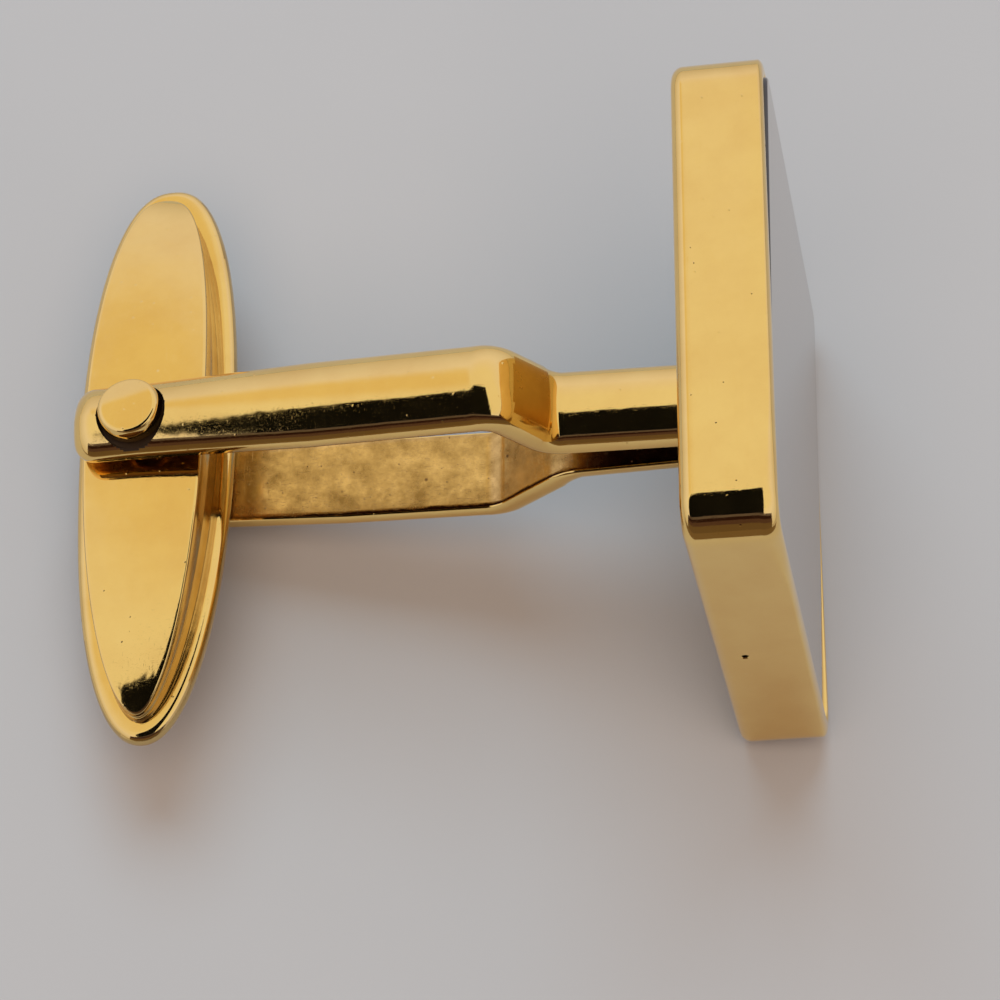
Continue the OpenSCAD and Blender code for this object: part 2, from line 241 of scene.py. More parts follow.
def bulge(c, n):
    """A sine or cosine c bent so that an ellipse becomes a fuller oval where n is over 2."""
    return math.copysign(abs(c) ** (2 / n), c)


def shade_edges(obj):
    """Smooth shading, but for the edges that are sharper than the limit."""
    obj.data.shade_smooth()
    obj.data.set_sharp_from_angle(angle=SHARP_ANGLE)


# Plaque: rounded squares along the post's axis

SIDE_STEPS, CORNER_STEPS = 36, 14
LIP_STEPS, BACK_STEPS = 16, 12
WALL_RINGS, BACK_RINGS = 12, 10
CAP_HALF = 1  # what the rings over the plaque's back leave to the cap in its middle, roughly
CORNER_FADE = 1.6  # millimetres over which a corner's wear fades along a side


def square_points(half, corner):
    """A rounded square's outline, as its points' places.

    Each has its side's turn, its place along that side or its angle round the corner, its nearest corner, and
    its share in that corner's wear.
    """
    points = []
    for quarter in range(4):
        turn = math.radians(90 * quarter)
        for i in range(SIDE_STEPS):
            along = 2 * i / SIDE_STEPS - 1
            to_corner = (half - corner) * (1 - abs(along))
            nearest = quarter if along > 0 else (quarter - 1) % 4
            points.append((turn, along, None, nearest, math.exp(-((to_corner / CORNER_FADE) ** 2))))
        for a in arc(0, 90, CORNER_STEPS)[:-1]:
            points.append((turn, None, a, quarter, 1.0))
    return points


def square_ring(half, corner, inset_at, x_at):
    """A rounded square across the post: functions of a point's corner and share give its inset and height."""
    ring = []
    for turn, along, a, nearest, share in square_points(half, corner):
        inset, x = inset_at(nearest, share), x_at(nearest, share)
        radius = max(corner - inset, SEAM)
        flat = half - inset - radius
        u, v = half - inset, flat * (along or 0)
        if a is not None:
            u, v = flat + radius * math.cos(a), flat + radius * math.sin(a)
        c, s = math.cos(turn), math.sin(turn)
        ring.append((x, u * c - v * s, u * s + v * c))
    return ring


def level_ring(half, corner, inset, x):
    """A rounded square across the post with one inset and one height."""
    return square_ring(half, corner, lambda nearest, share: inset, lambda nearest, share: x)


def lip_drop(nearest, share):
    """How far the lip's outer rounding reaches down: least on the sides, most at the worn corner."""
    corner = WORN_DOWN if nearest == WORN_CORNER else LIP_CORNER_DOWN
    return LIP_DOWN + (corner - LIP_DOWN) * share


def lip_ring(a):
    """The lip's outer edge at turn a of its rounding, from the front face round to the side."""
    return square_ring(
        PLAQUE_HALF,
        CORNER_R,
        lambda nearest, share: LIP_IN * (1 - math.sin(a)),
        lambda nearest, share: LIP_X - lip_drop(nearest, share) * (1 - math.cos(a)),
    )


def make_case():
    """The plaque's case: from its inside under the stone, over the lip and down its sides to its back."""
    profile = [(CASE_WALL, stone_low[0]), (CASE_WALL, LIP_X - LIP_EDGE_R)]
    profile += [
        (CASE_WALL - LIP_EDGE_R * (1 - math.cos(a)), LIP_X - LIP_EDGE_R * (1 - math.sin(a)))
        for a in arc(0, 90, FILLET_STEPS)
    ]
    rings = [level_ring(PLAQUE_HALF, CORNER_R, inset, x) for inset, x in profile]
    rings += [lip_ring(a) for a in arc(0, 90, LIP_STEPS)]
    straight = np.linspace(LIP_X - WORN_DOWN, BACK_X + BACK_EDGE_R, WALL_RINGS)[1:-1]
    profile = [(0, x) for x in straight]
    profile += [
        (BACK_EDGE_R * (1 - math.cos(a)), BACK_X + BACK_EDGE_R * (1 - math.sin(a)))
        for a in arc(0, 90, BACK_STEPS)
    ]
    reach = PLAQUE_HALF - CAP_HALF
    profile += [(BACK_EDGE_R + reach * i / BACK_RINGS, BACK_X) for i in range(1, BACK_RINGS)]
    rings += [level_ring(PLAQUE_HALF, CORNER_R, inset, x) for inset, x in profile]
    case = piece_from("case_shell", *lofted(rings), "post", ["bezel_case"], "polished_gold")
    cut_with(case, vent_cutter())
    shade_edges(case)
    return case


def make_stone():
    """The stone: a slab with a chamfered edge, whose face lies sunk and leaning in the case."""
    edge = CASE_WALL + SEAM
    top = stone_high[0]
    belly = STONE_BEVEL * BEVEL_BELLY
    profile = [(edge, stone_low[0]), (edge, top - STONE_BEVEL), (edge + belly, top - belly)]
    profile += [(edge + STONE_BEVEL + inset, top) for inset in (0, 2 * SEAM, *range(1, 6))]
    rings = [level_ring(PLAQUE_HALF, CORNER_R, inset, x) for inset, x in profile]
    for k, ring in enumerate(rings[1:], 1):
        rings[k] = [(x - STONE_SINK + STONE_LEAN * y, y, z) for x, y, z in ring]
    return piece_from("stone_slab", *lofted(rings), "post", ["onyx_inlay"], "onyx")


# Arms: one section swept along the inner face's line

ROUND_STEPS, FLAT_STEPS, EDGE_STEPS = 44, 16, 4
END_STEPS = 10
BAR_RINGS, BEND_RINGS, NECK_RINGS = 120, 18, 30
# Material slots of an arm after the first, which is polished: the satin inner faces, the heads' seats in
# near-black painted shade, and the filed flat, whose darker colour is painted shade
SATIN, SEAT_SHADE, FILED = 1, 2, 3
# The least part of a face's normal along the pin, inwards where it is satin and outwards where it is filed,
# and the most across the arm
SATIN_OUT, SATIN_ACROSS = 0.3, 0.1
FILED_OUT, FILED_ACROSS = 0.4, 0.35


def arm_section(shape):
    """The arm's outline across the post: y, and the distance out from its inner face."""
    half, t, side, n = shape
    wide, tall = ARM_EDGE, EDGE_SHARE * side
    flat = [(-half + wide + (half - wide) * 2 * i / FLAT_STEPS, 0) for i in range(FLAT_STEPS + 1)]
    turn = arc(0, 90, EDGE_STEPS)[1:]
    low = [(half - wide * (1 - math.sin(a)), tall * (1 - math.cos(a))) for a in turn]
    back = [
        (half * bulge(math.cos(a), n), side + (t - side) * bulge(max(math.sin(a), 0), n))
        for a in arc(0, 180, ROUND_STEPS)
    ]
    high = [(-y, h) for y, h in reversed(low)]
    return flat + low + back + high


def arm_ring(at, angle, shape):
    """The section at a point of the inner line, square to a direction in radians."""
    s, c = math.sin(angle), math.cos(angle)
    return [(at[0] - h * s, y, at[1] + h * c) for y, h in arm_section(shape)]


def bar_section(x):
    """Half width, thickness, flat side and exponent at x: narrower and rounder by the pin."""
    half = EYE_W / 2 + (ARM_W - EYE_W) / 2 * min(1, max(0, x / EYE_RUN))
    return np.array([half, ARM_T, ARM_SIDE, ROUND_PIN + (ROUND_BEND - ROUND_PIN) * x / NEAR_JOG[0]])


def across(angle):
    """The direction square to one at an angle in radians."""
    return np.array([-math.sin(angle), math.cos(angle)])


def arm_rings(start, run, bend_r, saddle_r):
    """Rings from the rounded end past the pin, along the two bends, into the plaque's back."""
    corner_1 = np.array([start, GAP_BEND / 2])
    corner_2 = np.array([start + run, GAP_NECK / 2])
    foot = np.array([BACK_X, GAP_FOOT / 2])
    spread = math.atan2((GAP_BEND - GAP_PIN) / 2, start)
    slope = math.atan2(*(corner_2 - corner_1)[::-1])
    lean = math.atan2(*(foot - corner_2)[::-1])
    outer_r = NECK_T + saddle_r
    start_1 = corner_1 + bend_r * math.tan((spread - slope) / 2) * across(spread + math.pi / 2)
    start_2 = corner_2 + outer_r * math.tan((lean - slope) / 2) * across(slope + math.pi / 2)
    centre_1 = start_1 - bend_r * across(spread)
    centre_2 = start_2 + outer_r * across(slope)
    bar = bar_section(start)
    middle = np.array([(ARM_W + NECK_W) / 4, (ARM_T + NECK_T) / 2, ARM_SIDE, ROUND_SLOPE])
    neck = np.array([NECK_W / 2, NECK_T, NECK_SIDE, ROUND_NECK])

    def line(x):
        return np.array([x, GAP_PIN / 2 + x * math.tan(spread)])

    rings = []
    for a in arc(90, 0, END_STEPS):
        x = ARM_END_R * (1 - math.sin(a)) - ARM_END
        shrink = ARM_END_R * (1 - math.cos(a))
        rings.append(arm_ring(line(x), spread, bar_section(x) - [shrink, shrink, 0, 0]))
    for x in np.linspace(ARM_END_R - ARM_END, start_1[0], BAR_RINGS)[1:-1]:
        rings.append(arm_ring(line(x), spread, bar_section(x)))
    for k in np.linspace(0, 1, BEND_RINGS):
        a = spread + (slope - spread) * k
        rings.append(arm_ring(centre_1 + bend_r * across(a), a, bar + (middle - bar) * k))
    for k in np.linspace(0, 1, BEND_RINGS):
        a = slope + (lean - slope) * k
        rings.append(arm_ring(centre_2 - outer_r * across(a), a, middle + (neck - middle) * k))
    after_2 = centre_2 - outer_r * across(lean)
    for k in np.linspace(0, 1, NECK_RINGS)[1:]:
        rings.append(arm_ring(after_2 + (foot - after_2) * k, lean, neck))
    rings.append(arm_ring(foot + [FOOT_DEPTH, 0], lean, neck))
    return rings


CUTTER_STEPS = 128


def seat_cutter():
    """The round seat of a pin's head, a little off the pin's axis."""
    profile = [(SEAM, 0)]
    profile += [
        (SEAT_R - SEAT_FILLET + SEAT_FILLET * math.sin(a), SEAT_FILLET * (1 - math.cos(a)))
        for a in arc(0, 90, FILLET_STEPS)
    ]
    profile += [(SEAT_R, ARM_T), (SEAM, ARM_T)]
    return round_cutter("seat_cutter", profile, POST @ Matrix.Translation((*SEAT_SHIFT, SEAT_Z)))


def bore_cutter():
    """The pin's bore, from between the arms up to the seat of its head."""
    radius = PIN_D / 2 + PIN_FIT
    profile = [(SEAM, 0), (radius, 0), (radius, SEAT_Z + SEAM), (SEAM, SEAT_Z + SEAM)]
    return round_cutter("bore_cutter", profile, POST)


def vent_cutter():
    """The vent hole's drill, across the post into the plaque's near side."""
    place = Matrix.Translation((BACK_X + VENT_X, -PLAQUE_HALF - VENT_D, VENT_Z))
    place @= Matrix.Rotation(math.radians(-90), 4, "X")
    profile = [
        (SEAM, 0),
        (VENT_D / 2 + VENT_LEAD, 0),
        (VENT_D / 2 + VENT_LEAD, VENT_D),
        (VENT_D / 2, VENT_D + VENT_LEAD),
        (VENT_D / 2, VENT_D + VENT_DEPTH),
        (SEAM, VENT_D + VENT_DEPTH),
    ]
    return round_cutter("vent_cutter", profile, POST @ place)


def round_cutter(name, profile, matrix):
    """A turned solid from a profile of (radius, height), placed in the world."""
    turn = full_turn(CUTTER_STEPS)
    rings = [[(r * math.cos(a), r * math.sin(a), z) for a in turn] for r, z in profile]
    return solid(name, *lofted(rings), matrix)


def cut_with(obj, cutter):
    """Applies an exact difference and removes the cutter."""
    modifier = obj.modifiers.new("cut", "BOOLEAN")
    modifier.operation = "DIFFERENCE"
    modifier.solver = "EXACT"
    modifier.object = cutter
    evaluated = obj.evaluated_get(bpy.context.evaluated_depsgraph_get())
    mesh = bpy.data.meshes.new_from_object(evaluated)
    obj.modifiers.clear()
    obj.data = mesh
    bpy.data.objects.remove(cutter)


def make_arm(name, node, jog, side):
    """An arm with its bore and seat cut and its faces in their material slots, mirrored where side is -1."""
    arm = piece_from(name, *lofted(arm_rings(*jog)), "post", [node], "polished_gold")
    for cutter in (bore_cutter(), seat_cutter()):
        cut_with(arm, cutter)
    mesh = arm.data
    back = POST.inverted()
    for part in mesh.polygons:
        at, normal = back @ part.center, (back.to_3x3() @ part.normal).normalized()
        from_seat = math.hypot(at.x - SEAT_SHIFT[0], at.y - SEAT_SHIFT[1])
        past_bend = at.x - jog[0]
        on_slope = FILED_START < past_bend < jog[1] + FILED_RUN
        if normal.z < -SATIN_OUT and abs(normal.y) < SATIN_ACROSS:
            part.material_index = SATIN
        # The seats' faces round the heads get near-black painted shade
        elif from_seat < SEAT_R + SEAM / 2 and at.z > GAP_PIN / 2 + SEAM:
            part.material_index = SEAT_SHADE
        # The filed flat: rougher, and its darker colour is painted shade
        elif on_slope and normal.z > FILED_OUT and abs(normal.y) < FILED_ACROSS:
            part.material_index = FILED
    if side < 0:
        mesh.transform(POST @ Matrix.Scale(-1, 4, (0, 0, 1)) @ back)
        mesh.flip_normals()
    shade_edges(arm)
    return arm


# Pin

PIN_STEPS = 96
RIM_STEPS, RIM_RINGS, TOP_RINGS = 6, 4, 22
TOP_MIDDLE = 0.04  # the innermost ring of a head's top, as a share of the outermost


def pin_radius(angle, z):
    """The shaft's radius: round, with four flats across its middle."""
    if abs(z) >= SQUARE_H / 2:
        return PIN_D / 2
    return min(PIN_D / 2, PIN_SQUARE / 2 / max(abs(math.cos(angle)), abs(math.sin(angle))))


def head_height(x, y, crown):
    """Height of a head over its rim: a dome cut by two broad filed flats that meet in a ridge."""
    r = HEAD_D / 2
    rise = pin_high[2] - RIM_Z
    dome = crown * rise * (1 - (x * x + y * y) / (r * r))
    first = FLAT_SHARE * rise + FLAT_RISE * y
    second = first - SECOND_FALL * (y - RIDGE_Y - RIDGE_SLANT * x)
    heights = np.array([dome, first, second])
    return -math.log(np.exp(-RIDGE_SHARP * heights).sum()) / RIDGE_SHARP


def make_pin():
    """The riveted pin: two halves that mirror each other, but for the height of their domes."""
    angles = full_turn(PIN_STEPS)
    r = HEAD_D / 2

    def shaft(z):
        return [(pin_radius(a, z) * math.cos(a), pin_radius(a, z) * math.sin(a), z) for a in angles]

    def head_ring(radius, height_at):
        ring = []
        for a in angles:
            x, y = radius * math.cos(a), radius * math.sin(a)
            ring.append((x + HEAD_SHIFT[0], y + HEAD_SHIFT[1], height_at(x, y)))
        return ring

    def level(z):
        return lambda x, y: z

    def half(crown):
        def top(x, y):
            return RIM_Z + head_height(x, y, crown)

        rings = [shaft(z) for z in (SQUARE_H / 2 - SEAM, SQUARE_H / 2, SEAT_Z)]
        for radius in (PIN_D / 2 + 2 * HEAD_EDGE, r - HEAD_EDGE):
            rings.append(head_ring(radius, level(SEAT_Z)))
        low, high = SEAT_Z + HEAD_EDGE, RIM_Z - 3 * HEAD_EDGE
        rings += [head_ring(r, level(z)) for z in np.linspace(low, high, RIM_RINGS)]
        for a in arc(0, 90, RIM_STEPS)[1:]:
            blend = math.sin(a)
            radius = r - HEAD_EDGE * (1 - math.cos(a))
            rings.append(head_ring(radius, lambda x, y: high + (top(x, y) - high) * blend))
        for share in np.linspace(1, TOP_MIDDLE, TOP_RINGS)[1:]:
            rings.append(head_ring((r - HEAD_EDGE) * share, top))
        return rings

    far = [[(x, y, -z) for x, y, z in ring] for ring in reversed(half(FAR_CROWN))]
    points, faces = lofted(far + half(NEAR_CROWN))
    return piece_from("rivet_pin", points, faces, "post", ["pivot_pin"], "polished_gold")


# Toggle: rings from one family of ovals

OVAL_STEPS = 288
RIM_SIDE_STEPS, HOLLOW_STEPS, CHEEK_EDGE_STEPS = 8, 9, 6
FACE_RINGS = 26
TINY = 1e-9
WALL_LEAN = 0.6  # a face is part of a wall where its normal's part along the pin is under this


def oval(a, b, n, z, full=0.0):
    """An oval half as long as a and half as wide as b: exponent 2 is an ellipse, and more is fuller.

    Hand finishing has left it uneven: its +Y half is fuller, and the side away from the plaque is wider.
    """
    ring = []
    for t in full_turn(OVAL_STEPS):
        power = n + full if math.sin(t) > 0 else n
        x, y = b * bulge(math.cos(t), power), a * bulge(math.sin(t), power)
        if x < 0:
            x *= 1 + LEFT_GROW + LEFT_RISE * math.tanh(y / LEFT_RUN)
        ring.append((x, y, z))
    return ring


def cheek_oval(grow, z=0.0, share=0.0):
    """A cheek's outline, which grows fuller from its foot, share 0, to its face, share 1."""
    return oval(CORE_A - STEP_TIP + grow, CORE_B - STEP_W + grow, CHEEK_ROUND, z, CHEEK_FULL * share)


def inner_ring(kind, z):
    """A ring of the bore or of the chamber's outline, each point on the ray of its oval point."""
    ring = []
    for a in full_turn(OVAL_STEPS):
        c, s = math.cos(a), math.sin(a)
        if kind == "bore":
            r = PIN_D / 2 + PIVOT_PLAY
            ring.append((r * c, r * s, z))
            continue
        x, y = CORE_B * c, CORE_A * s
        k = min(CHAMBER_W / 2 / max(abs(x), TINY), CHAMBER_L / 2 / max(abs(y), TINY))
        ring.append((x * k, y * k, z))
    return ring


def between(outer, inner, shares, height=None):
    """Rings from an outer ring to an inner one, with their height from a function if there is one."""
    rings = []
    for share in shares:
        ring = []
        for p, q in zip(outer, inner):
            x = p[0] + (q[0] - p[0]) * share
            y = p[1] + (q[1] - p[1]) * share
            z = p[2] + (q[2] - p[2]) * share
            ring.append((x, y, z if height is None else height(x, y)))
        rings.append(ring)
    return rings


def cheek_height(x, y):
    """Height of a cheek's crown over the middle plane."""
    a, b = CORE_A - STEP_TIP, CORE_B - STEP_W
    t = CHEEK_TOP - CORE_T / 2
    tip = TIP_BEND * max(0, abs(y) - TIP_START + TIP_SKEW * x) ** 2
    return CORE_T / 2 + t - CHEEK_CROWN * (x / b) ** 2 - (t - CHEEK_TIP_T) * (y / a) ** 2 - tip


def make_core():
    """The toggle's middle plate: a rounded rim, and two flat sides that run in to the springs' chamber."""
    r, flat = CORE_EDGE_R, CORE_T / 2 - CORE_EDGE_R
    rim = []
    for side, start, end in ((-1, -90, 0), (1, 0, 90)):
        for a in arc(start, end, RIM_SIDE_STEPS):
            inset = r * (1 - math.cos(a))
            height = side * flat + r * math.sin(a)
            rim.append(oval(CORE_A - inset, CORE_B - inset, CORE_ROUND, height, CORE_FULL))
    ledge = between(rim[-1], inner_ring("chamber", CORE_T / 2), (0.1, 0.5, 1))
    under = [[(x, y, -z) for x, y, z in ring] for ring in reversed(ledge)]
    points, faces = lofted(under + rim + ledge, closed=True)
    return piece_from("toggle_plate", points, faces, "toggle", ["toggle_core"], "polished_gold", TOGGLE)


def cheek_rings():
    """From the chamber out under the cheek, up its hollow two-part side and over its face into the bore."""
    base = CORE_T / 2

    def side(grow, share):
        ring = cheek_oval(grow, 0, share)
        return [(x, y, base + share * (cheek_height(x, y) - CHEEK_EDGE - base)) for x, y, z in ring]

    def hollow(grow_from, grow_to, share_from, share_to):
        rings = []
        for t in np.linspace(0, 1, HOLLOW_STEPS):
            grow = grow_from + (grow_to - grow_from) * t - HOLLOW * math.sin(math.pi * t)
            rings.append(side(grow, share_from + (share_to - share_from) * t))
        return rings

    rings = between(inner_ring("chamber", base), cheek_oval(CHEEK_DRAFT, base), (0, 0.5, 1))
    rings += hollow(CHEEK_DRAFT, CHEEK_STEP, 0, HOLLOW_END)[1:]
    rings += hollow(CHEEK_EDGE / 4, 0, HOLLOW_START, 1)
    for a in arc(0, 90, CHEEK_EDGE_STEPS)[1:]:
        drop = CHEEK_EDGE * (1 - math.sin(a))
        edge = cheek_oval(-CHEEK_EDGE * (1 - math.cos(a)), 0, 1)
        rings.append([(x, y, cheek_height(x, y) - drop) for x, y, z in edge])
    bore = inner_ring("bore", 0)
    rings += between(rings[-1], bore, np.linspace(0, 1, FACE_RINGS)[1:], cheek_height)
    ceiling = base + CHAMBER_T
    rings.append(inner_ring("bore", ceiling))
    rings += between(inner_ring("bore", ceiling), inner_ring("chamber", ceiling), (0.5, 1))
    return rings


def mark_walls(obj):
    """Gives the toggle's upright faces the second material, a darker gold that paints shade on them."""
    back = TOGGLE.inverted().to_3x3()
    for part in obj.data.polygons:
        if abs((back @ part.normal).normalized().z) < WALL_LEAN:
            part.material_index = 1


def make_cheeks():
    """The near cheek, and the far one as its mirror image."""
    points, faces = lofted(cheek_rings(), closed=True)
    near = piece_from("near_cheek_shell", points, faces, "toggle", ["near_cheek"], "polished_gold", TOGGLE)
    points = [(x, y, -z) for x, y, z in points]
    far = piece_from("far_cheek_shell", points, faces, "toggle", ["far_cheek"], "polished_gold", TOGGLE)
    return near, far


# Materials: patterns are measured in millimetres of the object's coordinates, and colours are linear

GOLD_LIGHT, GOLD_DARK = (0.95, 0.67, 0.245), (0.90, 0.61, 0.215)
# Darker gold for the toggle's upright faces: painted shade
SHADED_WALL_LIGHT, SHADED_WALL_DARK = (0.66, 0.47, 0.20), (0.52, 0.34, 0.12)
# Darker, deeper amber for the arms' filed flats: painted shade over a real rougher finish
FILED_SHADED_LIGHT, FILED_SHADED_DARK = (0.68, 0.37, 0.065), (0.54, 0.28, 0.045)
INNER_LIGHT, INNER_DARK, INNER_SPECK = (0.83, 0.54, 0.195), (0.44, 0.26, 0.075), (0.22, 0.12, 0.045)
# Painted shade on the arms' inner faces: in the narrow gap near the plaque, and along their -Y edge
FOOT_SHADE, EDGE_SHADE = (0.16, 0.08, 0.035), (0.07, 0.03, 0.012)
STONE_DARK, STONE_CLOUD = (0.008, 0.008, 0.009), (0.018, 0.017, 0.019)
FLOOR_LIGHT, FLOOR_DARK = (0.258, 0.226, 0.211), (0.242, 0.213, 0.199)
# Painted shade on the arms' inner faces, in millimetres: along the post from the pin, where they close on
# each other, and along Y at the -Y edge
FOOT_SHADE_FROM, FOOT_SHADE_TO = 12.3, 13.2
EDGE_SHADE_FROM, EDGE_SHADE_TO = -1.06, -1.12
FOOT_RAGGED, EDGE_RAGGED = 0.3, 0.1  # how far each border strays with the metal's mottling
PER_MM = 1000.0


class Shader:
    """A small helper that adds nodes to one material."""

    def __init__(self, name):
        self.material = bpy.data.materials.new(name)
        self.material.use_nodes = True
        self.tree = self.material.node_tree
        self.bsdf = self.tree.nodes["Principled BSDF"]
        self.place = self.tree.nodes.new("ShaderNodeTexCoord").outputs["Object"]
        self.even = self.stretched((1, 1, 1))

    def node(self, kind, inputs=None, **settings):
        """A node whose inputs are fixed values or the outputs of other nodes."""
        made = self.tree.nodes.new(kind)
        for key, value in settings.items():
            setattr(made, key, value)
        for key, value in (inputs or {}).items():
            if isinstance(value, bpy.types.NodeSocket):
                self.tree.links.new(value, made.inputs[key])
            else:
                made.inputs[key].default_value = value
        return made

    def link(self, output, socket):
        """Leads an output into one of the surface's sockets."""
        self.tree.links.new(output, self.bsdf.inputs[socket])

    def stretched(self, scale, turn=(0, 0, 0)):
        """Object coordinates in millimetres, stretched per axis and then turned."""
        return self.node(
            "ShaderNodeMapping",
            {"Vector": self.place, "Rotation": turn, "Scale": [PER_MM * s for s in scale]},
        ).outputs["Vector"]

    def noise(self, vector, scale, detail, roughness):
        """Cloudy noise from 0 to 1."""
        return self.node(
            "ShaderNodeTexNoise",
            {"Vector": vector, "Scale": scale, "Detail": detail, "Roughness": roughness},
        ).outputs["Fac"]

    def spots(self, scale):
        """Distance to the nearest of many scattered points, as a share of their spacing."""
        return self.node(
            "ShaderNodeTexVoronoi",
            {"Vector": self.even, "Scale": scale, "Randomness": 1.0},
        ).outputs["Distance"]

    def ramp(self, value, low, high, to_low=0.0, to_high=1.0):
        """A value that goes from one number to another as the first one goes from low to high."""
        return self.node(
            "ShaderNodeMapRange",
            {"Value": value, "From Min": low, "From Max": high, "To Min": to_low, "To Max": to_high},
        ).outputs["Result"]

    def mix_colour(self, factor, a, b):
        """A mix of two colours, each fixed or the output of another node."""
        made = self.tree.nodes.new("ShaderNodeMix")
        made.data_type = "RGBA"
        self.tree.links.new(factor, made.inputs["Factor"])
        for socket, colour in ((6, a), (7, b)):
            if isinstance(colour, bpy.types.NodeSocket):
                self.tree.links.new(colour, made.inputs[socket])
            else:
                made.inputs[socket].default_value = (*colour, 1)
        return made.outputs[2]

    def math(self, operation, a, b):
        """The result of a sum or a product."""
        return self.node("ShaderNodeMath", {0: a, 1: b}, operation=operation).outputs[0]

    def bump(self, height, distance, normal=None):
        """A normal bent by a height, whose full depth is a distance in millimetres, over another normal."""
        inputs = {"Height": height, "Distance": distance * MM, "Strength": 1.0}
        if normal is not None:
            inputs["Normal"] = normal
        return self.node("ShaderNodeBump", inputs).outputs["Normal"]


def worn_normal(s, wave, pit, scratch, pit_scale=2.1):
    """Bump for used metal: soft waves from hand polishing, pits and hairline scratches both ways."""
    one_way = s.stretched((0.4, 9, 9), turn=(0.2, 0.1, 0.35))
    other_way = s.stretched((9, 0.4, 9), turn=(0.1, 0.3, -0.5))
    hair = s.noise(one_way, scale=3.0, detail=2.0, roughness=0.6)
    cross_hair = s.noise(other_way, scale=3.0, detail=2.0, roughness=0.6)
    normal = s.bump(s.noise(s.even, scale=0.9, detail=2.0, roughness=0.45), wave)
    normal = s.bump(s.ramp(hair, 0.62, 0.72), -scratch, normal)
    normal = s.bump(s.ramp(cross_hair, 0.64, 0.74), -scratch, normal)
    return s.bump(s.ramp(s.spots(pit_scale), 0.0, 0.09), pit, normal)


def gold_material(name, light, dark, rough_low, rough_high, wave, pit, scratch):
    """Yellow gold with patchy tone and lustre."""
    s = Shader(name)
    tone = s.noise(s.even, scale=0.55, detail=4.0, roughness=0.6)
    s.link(s.mix_colour(s.ramp(tone, 0.35, 0.7), light, dark), "Base Color")
    s.bsdf.inputs["Metallic"].default_value = 1.0
    lustre = s.noise(s.even, scale=1.6, detail=5.0, roughness=0.65)
    s.link(s.ramp(lustre, 0.3, 0.75, rough_low, rough_high), "Roughness")
    s.link(worn_normal(s, wave, pit, scratch), "Normal")
    return s.material


def inner_material():
    """The arms' inner faces: mottled, pitted satin gold, with painted shade where they close on each other
    and along their -Y edge.
    """
    s = Shader("satin_gold")
    mottle = s.ramp(s.noise(s.even, scale=1.3, detail=5.0, roughness=0.65), 0.35, 0.68)
    bare = s.mix_colour(mottle, INNER_LIGHT, INNER_DARK)
    specked = s.mix_colour(s.ramp(s.spots(1.5), 0.11, 0.05), bare, INNER_SPECK)
    dot = s.node("ShaderNodeVectorMath", {0: s.place, 1: post_axis}, operation="DOT_PRODUCT")
    along = s.math("ADD", dot.outputs["Value"], s.math("MULTIPLY", mottle, FOOT_RAGGED * MM))
    pin_at = post_axis.dot(Vector(pivot["pos_m"]))
    # Painted shade where the arms close on each other near the plaque, then along their -Y edge
    foot = s.ramp(along, pin_at + FOOT_SHADE_FROM * MM, pin_at + FOOT_SHADE_TO * MM)
    toned = s.mix_colour(foot, specked, FOOT_SHADE)
    side = s.node("ShaderNodeSeparateXYZ", {0: s.place}).outputs["Y"]
    ragged = s.math("ADD", side, s.math("MULTIPLY", mottle, EDGE_RAGGED * MM))
    edge = s.ramp(ragged, EDGE_SHADE_FROM * MM, EDGE_SHADE_TO * MM)
    s.link(s.mix_colour(edge, toned, EDGE_SHADE), "Base Color")
    s.bsdf.inputs["Metallic"].default_value = 1.0
    s.link(s.ramp(mottle, 0.0, 1.0, 0.16, 0.3), "Roughness")
    s.link(worn_normal(s, wave=0.008, pit=-0.02, scratch=0.002, pit_scale=3.0), "Normal")
    return s.material


def stone_material():
    """Mirror-polished black stone with the faintest hairlines."""
    s = Shader("black_stone")
    cloud = s.noise(s.even, scale=0.35, detail=4.0, roughness=0.6)
    s.link(s.mix_colour(s.ramp(cloud, 0.35, 0.7), STONE_DARK, STONE_CLOUD), "Base Color")
    s.bsdf.inputs["IOR"].default_value = 1.54
    s.bsdf.inputs["Coat Weight"].default_value = 0.7
    # The coat's warm tint paints warmth into the stone's reflections
    s.bsdf.inputs["Coat Tint"].default_value = (1, 0.93, 0.88, 1)
    lustre = s.noise(s.even, scale=2.5, detail=4.0, roughness=0.6)
    s.link(s.ramp(lustre, 0.3, 0.8, 0.02, 0.06), "Roughness")
    hair = s.noise(s.stretched((9, 0.5, 9), turn=(0.4, 0.0, 0.0)), scale=2.5, detail=2.0, roughness=0.6)
    s.link(s.bump(s.ramp(hair, 0.66, 0.74), -0.0006), "Normal")
    return s.material


def plain_material(name, colour, darker, metallic, rough_low, rough_high, grain, depth):
    """Seats and hidden pieces: a grained surface with patchy colour and lustre."""
    s = Shader(name)
    patches = s.noise(s.even, scale=0.8, detail=4.0, roughness=0.6)
    s.link(s.mix_colour(patches, colour, darker), "Base Color")
    s.bsdf.inputs["Metallic"].default_value = metallic
    s.link(s.ramp(patches, 0.3, 0.7, rough_low, rough_high), "Roughness")
    s.link(s.bump(s.noise(s.even, scale=grain, detail=3.0, roughness=0.6), depth), "Normal")
    return s.material


def dress(obj, *materials):
    """Fills the object's material slots in order, and leaves each face with its slot."""
    slots = obj.data.materials
    for k, material in enumerate(materials):
        if k < len(slots):
            slots[k] = material
        else:
            slots.append(material)


# Stage: the floor, the room, the lamps, and cards that only reflections show, with places in metres

FLOOR_HALF = 1.2
# The room's colour by height, from the horizon at 0 to overhead at 1
ROOM_STOPS = (
    (0.0, (0.60, 0.56, 0.54)),
    (0.29, (0.70, 0.68, 0.74)),
    (0.58, (0.81, 0.79, 0.89)),
    (0.72, (0.82, 0.78, 0.76)),
    (0.82, (0.83, 0.79, 0.67)),
)
